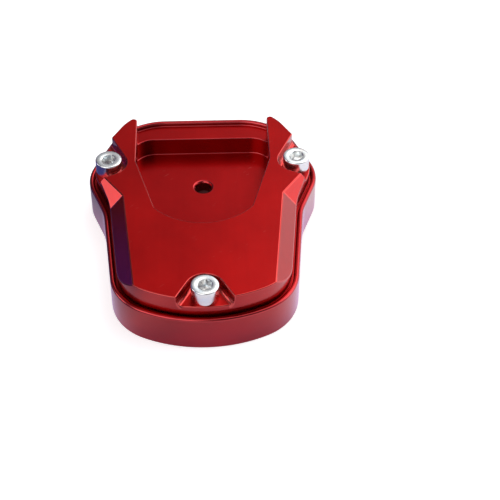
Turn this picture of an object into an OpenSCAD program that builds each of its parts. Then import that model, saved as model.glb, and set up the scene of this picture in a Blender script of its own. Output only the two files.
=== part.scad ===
// Foot enlarger for a motorcycle side stand.
// A milled tray carries the foot of the stand in a pocket, a bevelled clamp
// plate with two arms closes over it, and three cap screws hold the two.
// Millimetres, +Z up. The origin is the middle of the tray's underside.

/* [Tray outline] */
// Length of the tray, front to rear
tray_l = 95; // [90:0.5:100]
// Width of the tray over its shoulders
tray_w = 74.8; // [72:0.2:78]
// Radius of the two rear corners
rear_corner_r = 20; // [17:0.5:22]
// Distance from the side to the centre of each rear corner
rear_corner_in = 24.6; // [23.5:0.1:26.5]
// Radius of the two shoulders
shoulder_r = 16.6; // [15:0.2:19]
// Distance from the rear edge to the middle of the shoulders
shoulder_back = 30; // [28:0.5:32]
// Lean of the edge in front of each shoulder, in degrees from square
shoulder_slope = 21; // [18:0.5:24]
// Radius of the hollow between shoulder and side
waist_r = 20; // [14:0.5:24]
// Lean of each side, in degrees
side_taper = 6; // [5:0.25:7]
// Radius of the two front corners
front_corner_r = 18; // [15:0.5:20]
// Distance from the side to the centre of each front corner
front_corner_in = 26.3; // [25.4:0.1:27.4]
// Radius of the front edge
front_r = 43; // [38:0.5:55]

/* [Tray section] */
// Height of the tray
tray_h = 12; // [11:0.25:16]
// Thickness of the floor under the foot
floor_t = 4; // [3:0.25:6]
// Width of the raised rim
rim_w = 1.6; // [1.2:0.1:2.2]
// Depth of the seat of the clamp plate below the rim
seat_depth = 1.5; // [1:0.1:2.5]

/* [Foot pocket] */
// Distance from the rear edge to the pocket
pocket_back = 8.7; // [8:0.1:10]
// Distance from the front edge to the pocket
pocket_front = 17; // [15:0.5:22]
// Distance from the side to the pocket at its rear corners
pocket_rear_in = 13.5; // [12.8:0.1:15.5]
// Distance from the side to the pocket at its front corners
pocket_front_in = 16.9; // [16:0.1:20]
// Radius of the rear corners of the pocket
pocket_rear_r = 7.5; // [5:0.5:10]
// Radius of the front corners of the pocket
pocket_front_r = 12; // [8:0.5:16]
// Bore of the hole in the floor
drain_d = 5.2; // [4:0.1:6.5]
// Countersink of the hole in the floor
drain_sink = 0.6; // [0.3:0.1:1]
// Distance from the rear edge to the hole in the floor
drain_back = 26.2; // [20:0.2:38]

/* [Clamp plate] */
// Thickness of the clamp plate
plate_t = 8.5; // [7.5:0.25:9.5]
// Gap between the clamp plate and the rim
plate_gap = 0.6; // [0.3:0.05:0.9]
// Width and depth of the bevels, cut at 45 degrees
bevel = 4.4; // [3.5:0.1:5.3]
// Lean of the bevelled edge in front of each shoulder, in degrees from square
bevel_lean = 35; // [30:1:40]
// Distance from the rear edge to where the bevel turns outward
bevel_back = 46.5; // [44:0.1:50]
// Distance from the side to the inner face of each arm
arm_in = 15.5; // [15:0.1:16.4]
// Extra inset of the outer side of each arm
arm_inset = 1.4; // [0:0.1:2]
// Round at the tip of each arm
arm_tip_r = 1.2; // [0.6:0.1:2]
// Length of the parallel part between the arms, from the rear edge
arm_l = 29.6; // [26:0.2:33]
// Distance from the side to where the round end of the notch begins
notch_in = 21.9; // [21.4:0.1:23.4]
// Distance from the rear edge to where it begins
notch_back = 52.4; // [49:0.2:54]
// Radius of the round end of the notch
notch_r = 20; // [17:0.25:24]

/* [Screws] */
// Distance from the side to each rear screw
screw_in = 6.8; // [6.4:0.1:7.4]
// Distance from the rear edge to the rear screws
screw_back = 30.3; // [29:0.1:31.5]
// Distance from the front edge to the front screw
screw_front = 6.8; // [6.4:0.1:8.4]
// Thread diameter of the screws
screw_d = 5; // [4:0.5:5]
// Length of the screws under their heads
screw_l = 12; // [10:0.5:12]
// Diameter of the screw heads
head_d = 8.5; // [7:0.1:9]
// Height of the screw heads
head_h = 5; // [4:0.1:5.5]
// Size of the hex socket across its flats
socket_af = 4; // [3:0.1:4.5]
// Depth of the hex socket
socket_depth = 2.6; // [2:0.1:3]
// Radius of the hollow milled round each head
hollow_r = 5.9; // [5.2:0.1:6.2]
// Depth of that hollow below the top of the plate
hollow_depth = 3.5; // [2.8:0.1:4.2]
// Angle of the opening in front of the front screw, in degrees
front_open = 57; // [40:1:70]
// Angle from square to the front end of each rear opening, in degrees
rear_open_front = 25; // [15:5:40]
// Angle from square to the rear end of each rear opening, in degrees
rear_open_rear = 65; // [55:1:70]
// Clearance of the screw in the plate
screw_clear = 0.5; // [0.3:0.05:0.8]
// Clearance of the thread in the tray
thread_clear = 0.1; // [0.05:0.05:0.2]

/* [Hidden] */
$fn = 96;

RED = "#a01812";
ZINC = "#c8ccd0";

// Heights
seat_z = tray_h - seat_depth;
top_z = seat_z + plate_t;
head_seat_z = top_z - hollow_depth;
screw_tip_z = head_seat_z - screw_l;
drill_z = screw_tip_z - 0.6;
// How far a cut runs past a face, and a straight runs inside its arcs
over = 1;
fuse = 0.002;

// Lengths
side_x = tray_w / 2;
rear_y = tray_l / 2;
front_y = -tray_l / 2;
plate_inset = rim_w + plate_gap;
arm_x = side_x - arm_in;
screw_x = side_x - screw_in;
screws = [
    [0, front_y + screw_front],
    [screw_x, rear_y - screw_back],
    [-screw_x, rear_y - screw_back]
];

// Small plane geometry
function at(angle) = [cos(angle), sin(angle)];
function flip(p) = [-p[0], p[1]];
function backwards(list) = [for (i = [len(list) - 1:-1:0]) list[i]];
// The two halves of an outline, from its right half
function both(half) = concat(half, [for (p = backwards(half)) flip(p)]);
// Direction square to the line that touches two circles on their right side
function touch(a, ra, b, rb) =
    atan2(b[1] - a[1], b[0] - a[0]) - acos((ra - rb) / norm(b - a));
// Crossing of two lines, each given by its square direction and distance
function crossing(n1, c1, n2, c2) =
    let (d = n1[0] * n2[1] - n1[1] * n2[0])
    [(c1 * n2[1] - c2 * n1[1]) / d, (n1[0] * c2 - n2[0] * c1) / d];

// Centres and tangent directions of the tray's outline, right half
rear_c = [side_x - rear_corner_in, rear_y - rear_corner_r];
shoulder_c = [side_x - shoulder_r, rear_y - shoulder_back];
front_c = [0, front_y + front_r];
corner_x = side_x - front_corner_in;
corner_c = [corner_x, front_c[1] - sqrt(pow(front_r - front_corner_r, 2) - pow(corner_x, 2))];
corner_a = atan2(corner_c[1] - front_c[1], corner_c[0]);
side_n = at(-side_taper);
slope_n = at(-shoulder_slope);
waist_c = crossing(
    side_n, side_n * corner_c + front_corner_r + waist_r,
    slope_n, slope_n * shoulder_c + shoulder_r + waist_r
);

// Outline of the tray, drawn in by the given inset.
// The rear corners can be drawn in further, the straights stay tangent.
module outline(inset = 0, rear_inset = 0) {
    rear_r = rear_corner_r - inset - rear_inset;
    rear_n = at(touch(shoulder_c, shoulder_r - inset, rear_c, rear_r));
    in = inset + fuse;
    half = [
        corner_c + (front_corner_r - in) * at(corner_a),
        corner_c + (front_corner_r - in) * side_n,
        waist_c - (waist_r + in) * side_n,
        waist_c - (waist_r + in) * slope_n,
        shoulder_c + (shoulder_r - in) * slope_n,
        shoulder_c + (shoulder_r - in) * rear_n,
        rear_c + (rear_r - fuse) * rear_n,
        rear_c + (rear_r - fuse) * [0, 1]
    ];
    difference() {
        union() {
            polygon(both(half));
            intersection() {
                translate(front_c) circle(front_r - inset);
                polygon([
                    front_c,
                    front_c + 2 * front_r * at(180 - corner_a),
                    front_c + 2 * front_r * at(corner_a)
                ]);
            }
            for (side = [0, 1]) mirror([side, 0]) {
                translate(rear_c) circle(rear_r);
                translate(shoulder_c) circle(shoulder_r - inset);
                translate(corner_c) circle(front_corner_r - inset);
            }
        }
        for (side = [0, 1]) mirror([side, 0])
            translate(waist_c) circle(waist_r + in + fuse);
    }
}

// Outline of the pocket that holds the foot of the stand
module pocket_outline() {
    rear = [side_x - pocket_rear_in - pocket_rear_r, rear_y - pocket_back - pocket_rear_r];
    front = [side_x - pocket_front_in - pocket_front_r, front_y + pocket_front + pocket_front_r];
    side_n = at(touch(front, pocket_front_r, rear, pocket_rear_r));
    polygon(both([
        front - [0, pocket_front_r - fuse],
        front + (pocket_front_r - fuse) * side_n,
        rear + (pocket_rear_r - fuse) * side_n,
        rear + [0, pocket_rear_r - fuse]
    ]));
    for (side = [0, 1]) mirror([side, 0]) {
        translate(rear) circle(pocket_rear_r);
        translate(front) circle(pocket_front_r);
    }
}

// Tray with its rim, the seat of the clamp plate and the pocket
module base_plate() {
    color(RED) difference() {
        linear_extrude(tray_h) outline();
        translate([0, 0, seat_z]) linear_extrude(seat_depth + over) outline(rim_w);
        translate([0, 0, floor_t]) linear_extrude(tray_h) pocket_outline();
        translate([0, rear_y - drain_back, -over]) {
            cylinder(h = tray_h, d = drain_d);
            translate([0, 0, over + floor_t - drain_sink])
                cylinder(h = drain_sink + 0.01, d1 = drain_d, d2 = drain_d + 2 * drain_sink + 0.02);
        }
        for (p = screws) translate([p[0], p[1], drill_z])
            cylinder(h = tray_h, d = screw_d + thread_clear);
    }
}

// Space between the arms, from the rear edge to the round end of the notch
module arm_space() {
    start = [side_x - notch_in, rear_y - notch_back];
    knee = [arm_x, rear_y - arm_l];
    end_y = start[1] + sqrt(pow(notch_r, 2) - pow(start[0], 2));
    difference() {
        polygon(both([
            start + (start - knee) / 2,
            knee,
            [arm_x, rear_y + over]
        ]));
        difference() {
            translate([-notch_r, end_y - 2 * notch_r]) square([2 * notch_r, 2 * notch_r]);
            translate([0, end_y]) circle(notch_r);
        }
    }
}

// Outline of the clamp plate, the tip of each arm rounded
module plate_outline() {
    arm_r = rear_corner_r - plate_inset - arm_inset;
    tip_x = arm_x + arm_tip_r;
    tip = [tip_x, rear_c[1] + sqrt(pow(arm_r - arm_tip_r, 2) - pow(tip_x - rear_c[0], 2))];
    away = (tip - rear_c) / norm(tip - rear_c);
    difference() {
        outline(plate_inset, arm_inset);
        arm_space();
        for (side = [0, 1]) mirror([side, 0]) difference() {
            polygon([
                tip,
                [arm_x - over, tip[1]],
                [arm_x - over, rear_y],
                tip + 4 * arm_tip_r * away
            ]);
            translate(tip) circle(arm_tip_r + fuse);
        }
    }
}

// Hollow round a screw head, open between two directions
module hollow(from, to) {
    r = hollow_r - fuse;
    reach = 3 * hollow_r;
    circle(hollow_r);
    polygon([
        r * at(from - 90),
        r * at(from - 90) + reach * at(from),
        r * at(to + 90) + reach * at(to),
        r * at(to + 90)
    ]);
}

// Everything on the outer side of a 45 degree plane.
// The plane cuts the top face along a line through p, square to the direction.
module beyond(p, direction) {
    size = tray_l * 2;
    translate([p[0], p[1], top_z]) rotate([0, 0, direction]) rotate([0, -45, 0])
        translate([0, -size / 2, -size / 2]) cube([size, size, size]);
}

// Bevel along one side, which turns outwards in front of the shoulder
module side_bevel() {
    top_line = side_n * corner_c + front_corner_r - plate_inset - bevel;
    knee_y = rear_y - bevel_back;
    knee = [(top_line - side_n[1] * knee_y) / side_n[0], knee_y];
    intersection() {
        beyond(knee, -side_taper);
        beyond(knee, -bevel_lean);
    }
}

// Clamp plate with its arms, bevels and screw hollows
module clamp_plate() {
    color(RED) difference() {
        translate([0, 0, seat_z]) linear_extrude(plate_t) plate_outline();
        for (side = [0, 1]) mirror([side, 0, 0]) side_bevel();
        translate([0, 0, head_seat_z]) linear_extrude(hollow_depth + over) {
            translate(screws[0]) hollow(-90 - front_open / 2, -90 + front_open / 2);
            for (side = [0, 1]) mirror([side, 0])
                translate(screws[1]) hollow(-rear_open_front, rear_open_rear);
        }
        for (p = screws) translate([p[0], p[1], seat_z - over])
            cylinder(h = plate_t, d = screw_d + screw_clear);
    }
}

// One cap screw, its head's underside at z = 0
module cap_screw() {
    edge = 0.4;
    difference() {
        rotate_extrude() polygon([
            [0, -screw_l],
            [screw_d / 2 - edge, -screw_l],
            [screw_d / 2, -screw_l + edge],
            [screw_d / 2, 0],
            [head_d / 2, 0],
            [head_d / 2, head_h - edge],
            [head_d / 2 - edge, head_h],
            [0, head_h]
        ]);
        translate([0, 0, head_h - socket_depth])
            cylinder(h = socket_depth + over, d = socket_af / cos(30), $fn = 6);
    }
}

// The three cap screws
module clamp_screws() {
    color(ZINC) for (p = screws) translate([p[0], p[1], head_seat_z]) cap_screw();
}

base_plate();
clamp_plate();
clamp_screws();
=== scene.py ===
# %% [markdown]
# # Foot enlarger for a side stand, milled and red anodised
#
# The real object is three things: a tray that takes the foot of a side stand,
# a thick plate with two arms that closes over it, and three cap screws that
# hold the two together. The construction model gives every size. This lesson
# gives each piece the broken edges, the tool marks and the finish that a
# machined part shows, and then a camera and a plain studio.

# %% Load the construction model
import math

import bmesh
import bpy
import numpy as np
from mathutils import Matrix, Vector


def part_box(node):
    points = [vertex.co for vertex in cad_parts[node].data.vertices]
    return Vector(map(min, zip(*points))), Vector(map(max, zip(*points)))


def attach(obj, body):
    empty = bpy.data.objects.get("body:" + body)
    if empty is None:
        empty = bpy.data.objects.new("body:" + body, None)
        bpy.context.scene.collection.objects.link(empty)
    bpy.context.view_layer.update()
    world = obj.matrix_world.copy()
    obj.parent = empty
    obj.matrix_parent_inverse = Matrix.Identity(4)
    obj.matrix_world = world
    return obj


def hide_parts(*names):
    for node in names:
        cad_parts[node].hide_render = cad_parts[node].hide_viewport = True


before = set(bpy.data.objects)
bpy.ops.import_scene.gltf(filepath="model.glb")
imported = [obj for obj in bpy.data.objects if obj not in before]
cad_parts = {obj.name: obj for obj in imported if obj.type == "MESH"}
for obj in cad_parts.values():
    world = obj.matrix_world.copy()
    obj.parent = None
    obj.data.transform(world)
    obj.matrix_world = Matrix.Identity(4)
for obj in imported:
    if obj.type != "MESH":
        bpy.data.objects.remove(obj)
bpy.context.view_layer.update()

MM = 0.001
print("nodes", sorted(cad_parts))

# %% [markdown]
# ## Camera
#
# The photograph was taken from in front, 44 degrees above the table, with a
# long lens. A camera's matrix holds its own right, up and backward directions
# as columns, so the three angles are turned into those directions here. The
# values come from matching the corners of the model to those in the picture.

# %% Place the camera
lift, turn, tilt = np.radians([44.192, 2.446, -0.408])
eye = np.array([1.68, -311.23, 297.40]) * MM
focal_length, sensor_width = 94.57, 36.0
forward = np.array([math.sin(turn) * math.cos(lift), math.cos(turn) * math.cos(lift), -math.sin(lift)])
level = np.array([math.cos(turn), -math.sin(turn), 0.0])
down = np.cross(forward, level)

camera_data = bpy.data.cameras.new("camera")
camera_data.sensor_width = sensor_width
camera_data.lens = focal_length
camera_data.clip_start = 0.01
camera = bpy.data.objects.new("camera", camera_data)
bpy.context.collection.objects.link(camera)
place = np.eye(4)
place[:3, 0] = math.cos(tilt) * level + math.sin(tilt) * down
place[:3, 1] = math.sin(tilt) * level - math.cos(tilt) * down
place[:3, 2] = -forward
place[:3, 3] = eye
camera.matrix_world = Matrix(place)
bpy.context.scene.camera = camera
print("camera looks along", forward.round(3))

# %% [markdown]
# ## Tray and clamp plate: broken edges
#
# A milling shop never leaves an edge sharp. A small chamfer tool or a tumbling
# bowl takes a few tenths of a millimetre off, and the thin strips that are left
# flash in the light: they are what makes a part look like metal. Two places
# have more than that. The tray's rim is a narrow bead, rounded well over on
# both sides, and the hollows round the screw heads were cut by a mill with a
# round nose, so their walls run into the floor in a small curve.
#
# The construction model has sharp edges. Its shape is right, so the pieces
# aren't drawn again: a copy of the node has its loose triangles merged and its
# flat faces joined up, and a Bevel modifier rounds every edge that turns by
# more than 14 degrees. The walls of the arcs turn by less at each of their
# facets, so they stay smooth. The modifier has one width, and every edge has a
# weight, its share of that width, so one modifier cuts the thin strips and the
# wide ones. All of them go into a second material slot, because the dye is
# thinner on an edge and looks lighter there.


# %% A merged copy of a node
def merged_copy(node, name):
    """Mesh of a node's loose triangles, with points that meet made one and the
    triangles of every flat face joined. Points that meet lie less than weld
    apart, and two triangles of a flat face turn by less than flat."""
    weld, flat = 0.002 * MM, math.radians(0.5)
    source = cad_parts[node].data
    points = np.empty(len(source.vertices) * 3)
    source.vertices.foreach_get("co", points)
    corners = np.empty(len(source.loops), dtype=np.int32)
    source.loops.foreach_get("vertex_index", corners)
    mesh = bpy.data.meshes.new(name)
    mesh.from_pydata(points.reshape(-1, 3), [], corners.reshape(-1, 3))
    work = bmesh.new()
    work.from_mesh(mesh)
    bmesh.ops.remove_doubles(work, verts=work.verts, dist=weld)
    bmesh.ops.dissolve_limit(work, angle_limit=flat, verts=work.verts, edges=work.edges)
    work.to_mesh(mesh)
    work.free()
    print(name, "has", len(mesh.vertices), "points and", len(mesh.polygons), "faces")
    return mesh


# %% Weights on its edges
def weigh_edges(mesh, narrow, height, wide, inner):
    """Weight of every edge whose faces turn by more than the least turn: its own
    strip's width over the widest one. The strip is wide on the edges that lie at
    the height, the inner corners if inner is True and the outer ones if it is
    False, and narrow on all others."""
    least_turn, level = math.radians(14.0), 0.01 * MM
    work = bmesh.new()
    work.from_mesh(mesh)
    share = work.edges.layers.float.new("bevel_weight_edge")
    for edge in work.edges:
        if edge.calc_face_angle(0) > least_turn:
            at_height = all(abs(v.co.z - height) < level for v in edge.verts)
            edge[share] = 1.0 if at_height and edge.is_convex != inner else narrow / wide
    work.to_mesh(mesh)
    work.free()


# %% The piece that takes a node's place
def broken_edges(node, name, narrow, height, wide, inner):
    """Piece with a node's shape and with strips along its edges."""
    mesh = merged_copy(node, name)
    weigh_edges(mesh, narrow, height, wide, inner)
    mesh.polygons.foreach_set("use_smooth", np.ones(len(mesh.polygons), dtype=bool))
    piece = bpy.data.objects.new(name, mesh)
    bpy.context.collection.objects.link(piece)
    strip = piece.modifiers.new("broken edges", "BEVEL")
    strip.width = wide
    strip.segments = 3
    strip.limit_method = "WEIGHT"
    strip.use_clamp_overlap = False
    strip.miter_outer = "MITER_ARC"
    strip.harden_normals = True
    strip.material = 1
    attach(piece, "root")
    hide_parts(node)
    return piece


# %% The two milled pieces
# The rim's two top edges are outer corners at the top of the tray. The foot of
# a hollow is an inner corner, at the depth of the hollow below the plate's top.
strip_width = 0.32 * MM
rim_rounding = 0.74 * MM
nose_radius = 1.4 * MM
hollow_depth = 3.5 * MM
rim_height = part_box("base_plate")[1][2]
hollow_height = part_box("clamp_plate")[1][2] - hollow_depth
tray = broken_edges("base_plate", "tray", strip_width, rim_height, rim_rounding, inner=False)
clamp = broken_edges("clamp_plate", "clamp", strip_width, hollow_height, nose_radius, inner=True)
print("rim at", round(rim_height / MM, 2), "mm, hollows' floor at", round(hollow_height / MM, 2), "mm")

# %% [markdown]
# ## Cap screws
#
# A cap screw is turned from a bar, so its surface is one profile spun round an
# axis. Two things break that symmetry: the hexagonal socket, and the thread,
# whose ridge climbs as it goes round. Both are easy when the surface is a
# grid of two parameters, the angle and the place along the profile: the
# socket's rows take a six-sided radius, and the thread's rows take a radius
# that depends on angle and height together. The axes, the heads' top and the
# tips are read off the node, and the rest are the sizes of an M5 screw.

# %% Measure the screws
screw_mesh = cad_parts["clamp_screws"].data
screw_points = np.empty(len(screw_mesh.vertices) * 3)
screw_mesh.vertices.foreach_get("co", screw_points)
screw_points = screw_points.reshape(-1, 3)
head_top = screw_points[:, 2].max()
shank_tip = screw_points[:, 2].min()
top = screw_points[screw_points[:, 2] > head_top - 0.1 * MM]
behind, at_left = top[:, 1] > 0, top[:, 0] < 0
heads = [top[behind & at_left], top[behind & ~at_left], top[~behind]]
axes = np.array([(head.max(axis=0) + head.min(axis=0))[:2] / 2 for head in heads])
print("screw axes in mm", (axes / MM).round(2).tolist())
print("heads' top", round(head_top / MM, 2), "tips", round(shank_tip / MM, 2))


# %% One cap screw as a grid
def cap_screw_grid(around=72):
    """Angles, and the radius and height of every point, rows by columns.
    A round row has one radius. A hexagon's radius at an angle is half its width
    over the cosine of the angle from the middle of the nearest flat. The
    thread's radius falls from its crest with the distance to the helix, which
    drops one pitch a turn. Rows start in the socket and end at the tip. Sizes
    are in millimetres, and heights count from the top of the head."""
    turned = np.linspace(0, 2 * np.pi, around, endpoint=False)
    six = 1 / np.cos(np.mod(turned, np.pi / 3) - np.pi / 6)
    one = np.ones(around)
    quarter = np.linspace(0, np.pi / 2, 5)
    end_r = 0.02
    half_flats, deep, drill_r, drill_cone = 2.0, 2.6, 1.85, 0.55
    head_r, head_h, shoulder, foot = 4.25, 5.0, 0.42, 0.15
    shank_r, neck_r, pitch, crest, groove, run_out = 2.5, 2.62, 0.8, 0.02, 0.43, 1.2
    tip_h, tip_r = 0.2, 1.7
    seat = -head_h
    tip = (shank_tip - head_top) / MM

    # The socket: drilled cone, floor, six walls, and the chamfer round its mouth
    wall = half_flats * six
    rows = [(end_r * one, -deep - drill_cone), (drill_r * one, -deep)]
    rows += [(wall, -deep), (wall, -deep + 0.12), (wall, -1.2), (wall, -0.20)]
    rows += [(np.maximum(wall, 2.10), -0.13), (2.36 * one, -0.02), (2.44 * one, 0.0)]

    # The head: flat top, round shoulder, side, rounded foot and seat
    rows += [(3.2 * one, 0.0)]
    rows += [((head_r - shoulder + shoulder * math.sin(t)) * one, -shoulder + shoulder * math.cos(t))
             for t in quarter]
    rows += [(head_r * one, -2.2), (head_r * one, seat + 0.3)]
    rows += [((head_r - foot + foot * math.cos(t)) * one, seat + foot - foot * math.sin(t))
             for t in quarter]
    rows += [(2.9 * one, seat), (neck_r * one, seat - 0.02)]

    # The thread, which fades in under the head, and the chamfered tip
    drop = np.arange(seat - 0.25, tip + 0.45, -pitch / 8)
    helix = np.mod(drop[:, None] / pitch + turned[None, :] / (2 * np.pi), 1.0)
    ridge = np.clip(np.abs(helix - 0.5) * 2.3 - 0.1, 0, 1)
    fade = np.clip((seat - drop) / run_out - 0.4, 0, 1)[:, None]
    rows += list(zip(shank_r - crest - groove * ridge * fade, drop))
    rows += [(2.02 * one, tip + tip_h), (tip_r * one, tip), (end_r * one, tip)]

    radius = np.array([r for r, z in rows]) * MM
    height = np.array([z * one for r, z in rows]) * MM
    return turned, radius, height


# %% The grid set on three axes
def spun_mesh(name, turned, radius, height, centres, twists):
    """One mesh of the same grid about several upright axes: x and y are the axis
    plus the radius along the angle, z is the height. Each grid is closed round
    the angle and by a face at both ends. The UV map holds the share of a turn
    and the length along the profile in millimetres."""
    count, around = radius.shape
    row, col = np.meshgrid(np.arange(count - 1), np.arange(around), indexing="ij")
    rows_of = np.stack([row, row + 1, row + 1, row], axis=-1).reshape(-1, 4)
    cols_of = np.stack([col, col, col + 1, col + 1], axis=-1).reshape(-1, 4)
    quads = rows_of * around + np.mod(cols_of, around)
    step = np.hypot(np.diff(radius, axis=0), np.diff(height, axis=0))
    along = np.vstack([np.zeros(around), np.cumsum(step, axis=0)]) / MM
    uv = np.stack([cols_of / around, along[rows_of, np.mod(cols_of, around)]], axis=-1).reshape(-1, 2)
    first = np.arange(around)
    points, faces, ends = [], [], []
    for number, (centre, twist) in enumerate(zip(centres, twists)):
        x = centre[0] + radius * np.cos(turned + twist)
        y = centre[1] + radius * np.sin(turned + twist)
        points.append(np.stack([x, y, head_top + height], axis=-1).reshape(-1, 3))
        faces.append(quads + number * radius.size)
        ends += [number * radius.size + first, (number + 1) * radius.size - 1 - first]
    mesh = bpy.data.meshes.new(name)
    closed = np.concatenate(faces).tolist() + [end.tolist() for end in ends]
    mesh.from_pydata(np.concatenate(points), [], closed)
    caps = np.zeros((around * len(ends), 2))
    layer = mesh.uv_layers.new(name="profile")
    layer.data.foreach_set("uv", np.concatenate([uv] * len(points) + [caps]).ravel())
    mesh.polygons.foreach_set("use_smooth", np.ones(len(mesh.polygons), dtype=bool))
    return mesh


turned, radius, height = cap_screw_grid()
twists = np.radians([12.0, -20.0, 25.0])
screw_surface = spun_mesh("cap_screws", turned, radius, height, axes, twists)
screws = bpy.data.objects.new("cap_screws", screw_surface)
bpy.context.collection.objects.link(screws)
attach(screws, "root")
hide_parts("clamp_screws")

# %% Crisp edges on the smooth grid
# The grid is shaded smooth, so the edges of the socket are marked sharp.
check = bmesh.new()
check.from_mesh(screw_surface)
lowest, least_turn = head_top - 4.0 * MM, math.radians(32)
in_head = [edge for edge in check.edges if min(v.co.z for v in edge.verts) > lowest]
sharp = [edge for edge in in_head if edge.calc_face_angle(0) > least_turn]
for edge in sharp:
    edge.smooth = False
print("screw faces", len(check.faces), "sharp edges", len(sharp))
print("open edges", sum(not edge.is_manifold for edge in check.edges))
print("volume in mm3", round(check.calc_volume(signed=True) / MM**3, 1))
check.to_mesh(screw_surface)
check.free()

# %% [markdown]
# ## Shared effects as node groups
#
# Both milled pieces and their edges show the same things: lines left by the
# cutter, a fine grain from blasting, and a dye that isn't quite even. Each of
# these is a shader node group with named sockets, made once. A material then
# places it with its own values.


# %% Helpers for node trees
def new_group(name, inputs, outputs):
    """Node group with named sockets. Inputs are (name, kind, value), outputs (name, kind)."""
    group = bpy.data.node_groups.new(name, "ShaderNodeTree")
    for label, kind, value in inputs:
        socket = group.interface.new_socket(label, in_out="INPUT", socket_type="NodeSocket" + kind)
        if value is not None:
            socket.default_value = value
    for label, kind in outputs:
        group.interface.new_socket(label, in_out="OUTPUT", socket_type="NodeSocket" + kind)
    return group, group.nodes.new("NodeGroupInput").outputs, group.nodes.new("NodeGroupOutput").inputs


def put(tree, kind, **settings):
    """Node of a kind in a tree. A setting names a property of the node, or one of
    its inputs by label, or by number as i0, i1 and so on. An input takes either
    a socket, which is linked, or a value."""
    node = tree.nodes.new("ShaderNode" + kind)
    for key, value in settings.items():
        if hasattr(node, key):
            setattr(node, key, value)
            continue
        numbered = key[0] == "i" and key[1:].isdigit()
        socket = node.inputs[int(key[1:]) if numbered else key.replace("_", " ")]
        if isinstance(value, bpy.types.NodeSocket):
            tree.links.new(value, socket)
        else:
            socket.default_value = value
    return node


def calc(tree, operation, a, b=0.0, c=0.0):
    """Output of a Math node."""
    return put(tree, "Math", operation=operation, i0=a, i1=b, i2=c).outputs[0]


def stretched(tree, point, per_metre, detail=2.0, rough=0.5):
    """Noise from 0 to 1 with the given number of cells a metre along each axis."""
    shaped = put(tree, "VectorMath", operation="MULTIPLY", i0=point, i1=per_metre).outputs[0]
    return put(tree, "TexNoise", Vector=shaped, Scale=1.0, Detail=detail, Roughness=rough).outputs[0]


def cut(tree, value, low, high):
    """Value brought from low..high to 0..1."""
    return put(tree, "MapRange", Value=value, From_Min=low, From_Max=high).outputs[0]


def blended(tree, share, first, second):
    """Colour that goes from the first to the second as the share goes from 0 to 1."""
    return put(tree, "Mix", data_type="RGBA", i0=share, i6=first, i7=second).outputs[2]


def new_material(name):
    """Material, its node tree and its shader."""
    material = bpy.data.materials.new(name)
    material.use_nodes = True
    return material, material.node_tree, material.node_tree.nodes["Principled BSDF"]


# %% Cutter lines
# A face mill leaves fine lines along its path on the flat faces, and the side
# of an end mill leaves level lines on the walls. The height is a stretched
# noise of either kind, chosen by how far the face looks up.
cutter_lines, given, result = new_group(
    "cutter lines",
    [("Point", "Vector", None), ("Normal", "Vector", None)],
    [("Height", "Float"), ("Faced", "Float")],
)
upward = put(cutter_lines, "SeparateXYZ", Vector=given["Normal"]).outputs[2]
faced = cut(cutter_lines, calc(cutter_lines, "ABSOLUTE", upward), 0.75, 0.98)
paths = stretched(cutter_lines, given["Point"], (2600, 60, 2600), 3.0)
layers = stretched(cutter_lines, given["Point"], (55, 55, 4200))
apart = calc(cutter_lines, "SUBTRACT", paths, layers)
relief = calc(cutter_lines, "MULTIPLY_ADD", apart, faced, layers)
cutter_lines.links.new(relief, result["Height"])
cutter_lines.links.new(faced, result["Faced"])

# %% Blasted grain
# Fine beads leave a grain of about a tenth of a millimetre under the dye.
blasted_grain, given, result = new_group(
    "blasted grain",
    [("Point", "Vector", None), ("Size", "Float", 0.00012)],
    [("Height", "Float")],
)
cells = calc(blasted_grain, "DIVIDE", 1.0, given["Size"])
grain = put(blasted_grain, "TexNoise", Vector=given["Point"], Scale=cells, Detail=2.0, Roughness=0.55)
blasted_grain.links.new(grain.outputs[0], result["Height"])

# %% Dye
# The oxide takes the dye a little unevenly, in clouds of a centimetre or two,
# with a faint streak where the bar was drawn.
dye, given, result = new_group(
    "dye",
    [("Point", "Vector", None), ("Deep", "Color", None), ("Bright", "Color", None)],
    [("Color", "Color"), ("Cloud", "Float")],
)
clouds = stretched(dye, given["Point"], (45, 38, 60), 3.0, 0.6)
streaks = stretched(dye, given["Point"], (700, 12, 300))
together = calc(dye, "MULTIPLY_ADD", streaks, 0.1, calc(dye, "MULTIPLY", clouds, 0.9))
cloud = cut(dye, together, 0.3, 0.7)
dye.links.new(blended(dye, cloud, given["Deep"], given["Bright"]), result["Color"])
dye.links.new(cloud, result["Cloud"])

# %% Fine scratches
# Handling leaves a few short hairlines. A noise that is stretched along one
# direction and cut off near its top leaves only thin dashes.
scratches, given, result = new_group(
    "fine scratches",
    [("Point", "Vector", None), ("Amount", "Float", 0.5)],
    [("Mask", "Float")],
)
leaning = put(scratches, "Mapping", Vector=given["Point"], Rotation=(0.2, 0.3, 0.9)).outputs[0]
dashes = cut(scratches, stretched(scratches, leaning, (5200, 260, 900), 1.0), 0.74, 0.80)
places = cut(scratches, stretched(scratches, given["Point"], (90, 90, 90), 1.0), 0.52, 0.66)
few = calc(scratches, "MULTIPLY", calc(scratches, "MULTIPLY", dashes, places), given["Amount"])
scratches.links.new(few, result["Mask"])
print("groups", [group.name for group in bpy.data.node_groups])

# %% [markdown]
# ## Red anodised aluminium
#
# Anodising turns the skin of the aluminium into a clear oxide full of fine
# pores, and the red dye sits in them. Light passes the dye twice and comes
# back from the metal, so the metal itself is red, and the clear skin adds a
# thin white reflection of its own: Metallic is 1, the base colour is the dye,
# and a coat lies over it.


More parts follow.
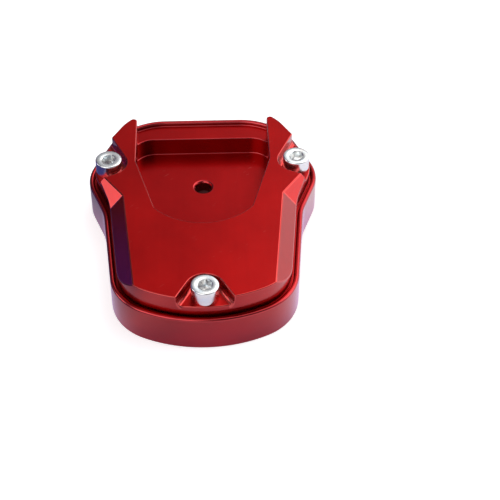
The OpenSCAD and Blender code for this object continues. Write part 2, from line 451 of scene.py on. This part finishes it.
# %% The red finish
def anodised(name, deep, bright, sides, ends, relief, scratched):
    """Dyed metal under a clear oxide, with the grain, the cutter lines and the
    scratches as relief. sides and ends are the roughness of what the side and
    the end of the cutter made, relief is the bump's strength. The coat is thick
    on the walls and thin on the flat faces."""
    material, tree, shader = new_material(name)
    point = put(tree, "TexCoord").outputs["Object"]
    normal = put(tree, "NewGeometry").outputs["Normal"]
    dyed = put(tree, "Group", node_tree=dye, Point=point, Deep=(*deep, 1), Bright=(*bright, 1)).outputs
    grain = put(tree, "Group", node_tree=blasted_grain, Point=point, Size=0.11 * MM).outputs[0]
    lines = put(tree, "Group", node_tree=cutter_lines, Point=point, Normal=normal).outputs
    marks = put(tree, "Group", node_tree=scratches, Point=point, Amount=scratched).outputs[0]

    bare_metal = (0.80, 0.30, 0.28, 1)
    worn = blended(tree, calc(tree, "MULTIPLY", marks, 0.5), dyed["Color"], bare_metal)
    tree.links.new(worn, shader.inputs["Base Color"])
    shader.inputs["Metallic"].default_value = 1.0
    coat = calc(tree, "MULTIPLY_ADD", lines["Faced"], -0.87, 1.0)
    tree.links.new(coat, shader.inputs["Coat Weight"])
    shader.inputs["Coat Roughness"].default_value = 0.14
    shader.inputs["Coat IOR"].default_value = 1.4

    rough = calc(tree, "MULTIPLY_ADD", lines["Faced"], ends - sides, sides - 0.085)
    rough = calc(tree, "MULTIPLY_ADD", lines["Height"], 0.14, rough)
    rough = calc(tree, "MULTIPLY_ADD", dyed["Cloud"], 0.03, rough)
    rough = calc(tree, "MULTIPLY_ADD", marks, 0.1, rough)
    tree.links.new(rough, shader.inputs["Roughness"])
    height = calc(tree, "MULTIPLY_ADD", lines["Height"], 0.6, calc(tree, "MULTIPLY", grain, 0.4))
    bump = put(tree, "Bump", Strength=relief, Distance=0.02 * MM, Height=height)
    tree.links.new(bump.outputs[0], shader.inputs["Normal"])
    return material


# %% Red on both pieces
# Each finish has a deep and a bright dye. On the strips along the edges the dye
# is lighter and there is hardly any relief. The strips are the second slot.
dyes = [
    (tray, "face", (0.30, 0.0020, 0.0028), (0.41, 0.0040, 0.0048)),
    (tray, "edge", (0.38, 0.014, 0.020), (0.52, 0.035, 0.040)),
    (clamp, "face", (0.34, 0.0022, 0.0026), (0.47, 0.0044, 0.0042)),
    (clamp, "edge", (0.48, 0.035, 0.032), (0.62, 0.070, 0.064)),
]
textures = {
    "face": {"sides": 0.22, "ends": 0.36, "relief": 0.6, "scratched": 0.6},
    "edge": {"sides": 0.22, "ends": 0.22, "relief": 0.1, "scratched": 0.2},
}
for piece, where, deep, bright in dyes:
    finish = anodised("red " + where + " of the " + piece.name, deep, bright, **textures[where])
    piece.data.materials.append(finish)
    print(finish.name, "on", piece.name)

# %% [markdown]
# ## Zinc plated steel
#
# The screws are bright zinc: nearly white metal with a faint blue and straw
# cast. They are turned, so the finest lines run round the axis. The UV map
# holds the length along the profile, and a noise of that length alone gives
# rings on the top face and on the side of the head alike.

# %% The zinc finish
zinc, tree, shader = new_material("bright zinc")
point = put(tree, "TexCoord").outputs["Object"]
profile = put(tree, "UVMap", uv_map="profile").outputs[0]
rings = stretched(tree, profile, (0, 14, 0), 3.0)
specks = put(tree, "Group", node_tree=blasted_grain, Point=point, Size=0.2 * MM).outputs[0]
cast = cut(tree, stretched(tree, point, (420, 420, 420)), 0.3, 0.7)
blue_cast, straw_cast = (0.78, 0.84, 0.87, 1), (0.90, 0.88, 0.85, 1)
tree.links.new(blended(tree, cast, blue_cast, straw_cast), shader.inputs["Base Color"])
shader.inputs["Metallic"].default_value = 1.0
rough = calc(tree, "MULTIPLY_ADD", rings, 0.12, 0.14)
tree.links.new(calc(tree, "MULTIPLY_ADD", specks, 0.06, rough), shader.inputs["Roughness"])
height = calc(tree, "MULTIPLY_ADD", specks, 0.3, rings)
bump = put(tree, "Bump", Strength=0.2, Distance=0.02 * MM, Height=height)
tree.links.new(bump.outputs[0], shader.inputs["Normal"])
screws.data.materials.append(zinc)
print(zinc.name, "on", screws.name)

# %% [markdown]
# ## Paper
#
# The picture has a white ground with hardly any shadow. The floor is a sheet of
# white paper, and the camera also sees it glow, which brings it to white and
# leaves a trace of the shadow close to the part.
#
# Metal is mostly a picture of what is round it. The walls of the tray mirror
# the paper about a centimetre in front of them, and there the reflections are
# grey and violet rather than white: dark at the left, brighter towards the
# round corners. A Light Path node tells a reflection's rays from the camera's,
# so a reflection sees the paper with painted shade on it: dimmer, changing its
# tone from left to right, and violet close to the tray. Under the part the
# paper's colour is a painted shadow, which also keeps the hole in the pocket's
# floor dark.


# %% A flat sheet of scenery
def flat_sheet(name, corners, material):
    """Flat sheet of one material between four corners."""
    mesh = bpy.data.meshes.new(name)
    mesh.from_pydata(corners, [], [(0, 1, 2, 3)])
    mesh.materials.append(material)
    sheet = bpy.data.objects.new(name, mesh)
    bpy.context.collection.objects.link(sheet)
    print(name, "has its corners at z in mm", [round(corner[2] / MM, 1) for corner in corners])
    return sheet


# %% The paper
reach = 30.0
paper, tree, shader = new_material("white paper")
shader.inputs["Roughness"].default_value = 0.9
shader.inputs["Specular IOR Level"].default_value = 0.1
corners = [(-reach, -reach, 0), (reach, -reach, 0), (reach, reach, 0), (-reach, reach, 0)]
floor = flat_sheet("floor", corners, paper)

# %% Zones of the paper
# Distances are told by an ellipse that lies under the tray, 29 mm to either side
# and 42 mm to the front and the rear: away is 1 on it and grows outwards. The
# other zones follow the place from left to right.
per_half_axis = (34, 24, 0)
spot = put(tree, "TexCoord").outputs["Object"]
shaped = put(tree, "VectorMath", operation="MULTIPLY", i0=spot, i1=per_half_axis).outputs[0]
away = put(tree, "VectorMath", operation="LENGTH", i0=shaped).outputs["Value"]
across = put(tree, "SeparateXYZ", Vector=spot).outputs[0]
uncovered = cut(tree, away, 0.9, 1.0)
close_by = cut(tree, away, 1.5, 1.2)
rightward = cut(tree, across, -48 * MM, -26 * MM)
outward = cut(tree, calc(tree, "ABSOLUTE", across), 16 * MM, 32 * MM)
print("paper is covered within mm", [round(1 / per_metre / MM, 1) for per_metre in per_half_axis[:2]])

# %% The paper's colour
# A reflection sees a ramp from dark violet at the left to a pale grey, times a
# tint that is more violet close to the tray: painted shade that only reflections
# see. All other rays see white.
# Under the part the paper's colour is a painted shadow, dark for every ray.
white, painted_shadow_under_part = (0.84, 0.84, 0.84, 1), (0.12, 0.04, 0.04, 1)
faint_tint, violet_tint = (0.97, 0.95, 1.0, 1), (0.96, 0.80, 1.12, 1)
in_reflection = put(tree, "LightPath").outputs["Is Glossy Ray"]
ramp = put(tree, "ValToRGB", i0=rightward)
ramp.color_ramp.elements[0].color = (0.05, 0.05, 0.20, 1)
ramp.color_ramp.elements[1].color = (0.68, 0.67, 0.71, 1)
ramp.color_ramp.elements.new(0.3).color = (0.24, 0.23, 0.38, 1)
tint = blended(tree, close_by, faint_tint, violet_tint)
painted_reflection_shade = put(tree, "VectorMath", operation="MULTIPLY", i0=ramp.outputs[0], i1=tint).outputs[0]
seen = blended(tree, in_reflection, white, painted_reflection_shade)
tree.links.new(blended(tree, uncovered, painted_shadow_under_part, seen), shader.inputs["Base Color"])
print("paper shows reflections", len(ramp.color_ramp.elements), "tones")

# %% The paper's glow
# The camera and clear things see the whole glow. A reflection sees a share of it,
# which grows outwards from the middle and is none at the far left, so the paper
# is painted darker in reflections near the middle and at the left.
glow, middle_share, outward_share = 0.54, 0.355, 0.40
rays = put(tree, "LightPath").outputs
straight = calc(tree, "MAXIMUM", rays["Is Camera Ray"], rays["Is Transmission Ray"])
share = calc(tree, "MULTIPLY_ADD", outward, outward_share, middle_share)
share = calc(tree, "MULTIPLY", calc(tree, "MULTIPLY", share, rightward), rays["Is Glossy Ray"])
strength = calc(tree, "MULTIPLY", calc(tree, "MAXIMUM", straight, share), uncovered)
strength = calc(tree, "MULTIPLY", strength, glow)
light = put(tree, "Emission", Color=blended(tree, in_reflection, (1, 1, 1, 1), tint), Strength=strength)
lit_paper = put(tree, "AddShader", i0=shader.outputs[0], i1=light.outputs[0]).outputs[0]
tree.links.new(lit_paper, tree.nodes["Material Output"].inputs["Surface"])
print("paper glows by", glow)

# %% [markdown]
# ## Dark card
#
# The left bevel looks level over the table, to the left and behind the part,
# and what it mirrors there is a deep violet that turns brown towards the rear.
# A card stands in that place, violet at its near end and brown at its far end.
# The camera doesn't see it and it casts no shadow: only reflections find it, so
# it is a painted dark reflection.

# %% The dark card
card_middle = np.array([-138, 81]) * MM
card_way = np.array([0.673, 0.739])
half_length = 45 * MM
card_foot, card_top = 1 * MM, 55 * MM
near_end = card_middle - card_way * half_length
far_end = card_middle + card_way * half_length
dark_reflection_material, tree, shader = new_material("painted dark reflection")
shader.inputs["Roughness"].default_value = 1.0
across = put(tree, "SeparateXYZ", Vector=put(tree, "TexCoord").outputs["Object"]).outputs[0]
violet, brown = (0.12, 0.06, 0.60, 1), (0.14, 0.03, 0.01, 1)
faded = blended(tree, cut(tree, across, -150 * MM, -128 * MM), violet, brown)
tree.links.new(faded, shader.inputs["Base Color"])
corners = [(*near_end, card_foot), (*far_end, card_foot), (*far_end, card_top), (*near_end, card_top)]
card = flat_sheet("dark card", corners, dark_reflection_material)
card.visible_camera = False
card.visible_diffuse = False
card.visible_shadow = False

# %% [markdown]
# ## Light tent
#
# The light comes from all round: a grey sky with patches laid over it, each in
# one direction, with a radius inside which it is full and one where it has
# faded out. The bright ones are softboxes. One is large and high at the right
# and lights the top of the plate, a smaller one inside it brightens the right
# half, and one on either side is what the slanted faces in front of the
# shoulders mirror. The dark ones are gaps between the boxes. They matter as
# much: they keep the left bevel and the left half of the plate dark.

# %% Patches of the tent
# Each line is an azimuth, counted from the rear towards the right, an elevation,
# the inner and the outer radius, all in degrees, and a colour. The notes say
# what mirrors the patch. A later patch lies over an earlier one.
patches = [
    (-47, 3, 12, 34, (0.05, 0.05, 0.16, 1)),      # the left bevel
    (-75, 15, 20, 50, (0.12, 0.09, 0.20, 1)),     # all that leans to the left
    (47, 2, 12, 30, (1.2, 1.15, 1.15, 1)),        # the right bevel
    (10, 12, 10, 26, (0.10, 0.07, 0.08, 1)),      # edges that lean to the rear
    (-32, 52, 10, 24, (0.12, 0.11, 0.13, 1)),     # the left half of the plate
    (180, 20, 30, 70, (0.62, 0.62, 0.64, 1)),     # edges that lean to the front
    (150, 45, 16, 38, (0.10, 0.08, 0.10, 1)),     # the front edges at the right
    (-140, 46, 18, 32, (1.8, 1.75, 1.75, 1)),     # the front edges at the left
    (50, 55, 12, 43, (1.5, 1.5, 1.5, 1)),         # the top of the plate
    (26, 48, 9, 18, (2.7, 2.7, 2.7, 1)),          # the right half of the plate
    (79, 27, 13, 24, (2.3, 2.3, 2.3, 1)),         # the slanted face at the right
    (-84, 23, 9, 15, (2.5, 2.5, 2.5, 1)),         # the slanted face at the left
]
print("tent of", len(patches), "patches")

# %% The tent
world = bpy.data.worlds.new("light tent")
world.use_nodes = True
tree = world.node_tree
toward = put(tree, "TexCoord").outputs["Generated"]
sky = (0.38, 0.38, 0.40, 1)
for azimuth, elevation, inner, outer, colour in patches:
    a, e = math.radians(azimuth), math.radians(elevation)
    middle = (math.sin(a) * math.cos(e), math.cos(a) * math.cos(e), math.sin(e))
    facing = put(tree, "VectorMath", operation="DOT_PRODUCT", i0=toward, i1=middle).outputs["Value"]
    weight = put(tree, "MapRange", interpolation_type="SMOOTHSTEP", Value=facing)
    weight.inputs["From Min"].default_value = math.cos(math.radians(outer))
    weight.inputs["From Max"].default_value = math.cos(math.radians(inner))
    sky = blended(tree, weight.outputs[0], sky, colour)
tree.links.new(sky, tree.nodes["Background"].inputs["Color"])
bpy.context.scene.world = world
bpy.context.scene.view_settings.view_transform = "Standard"
print("world is the", world.name)
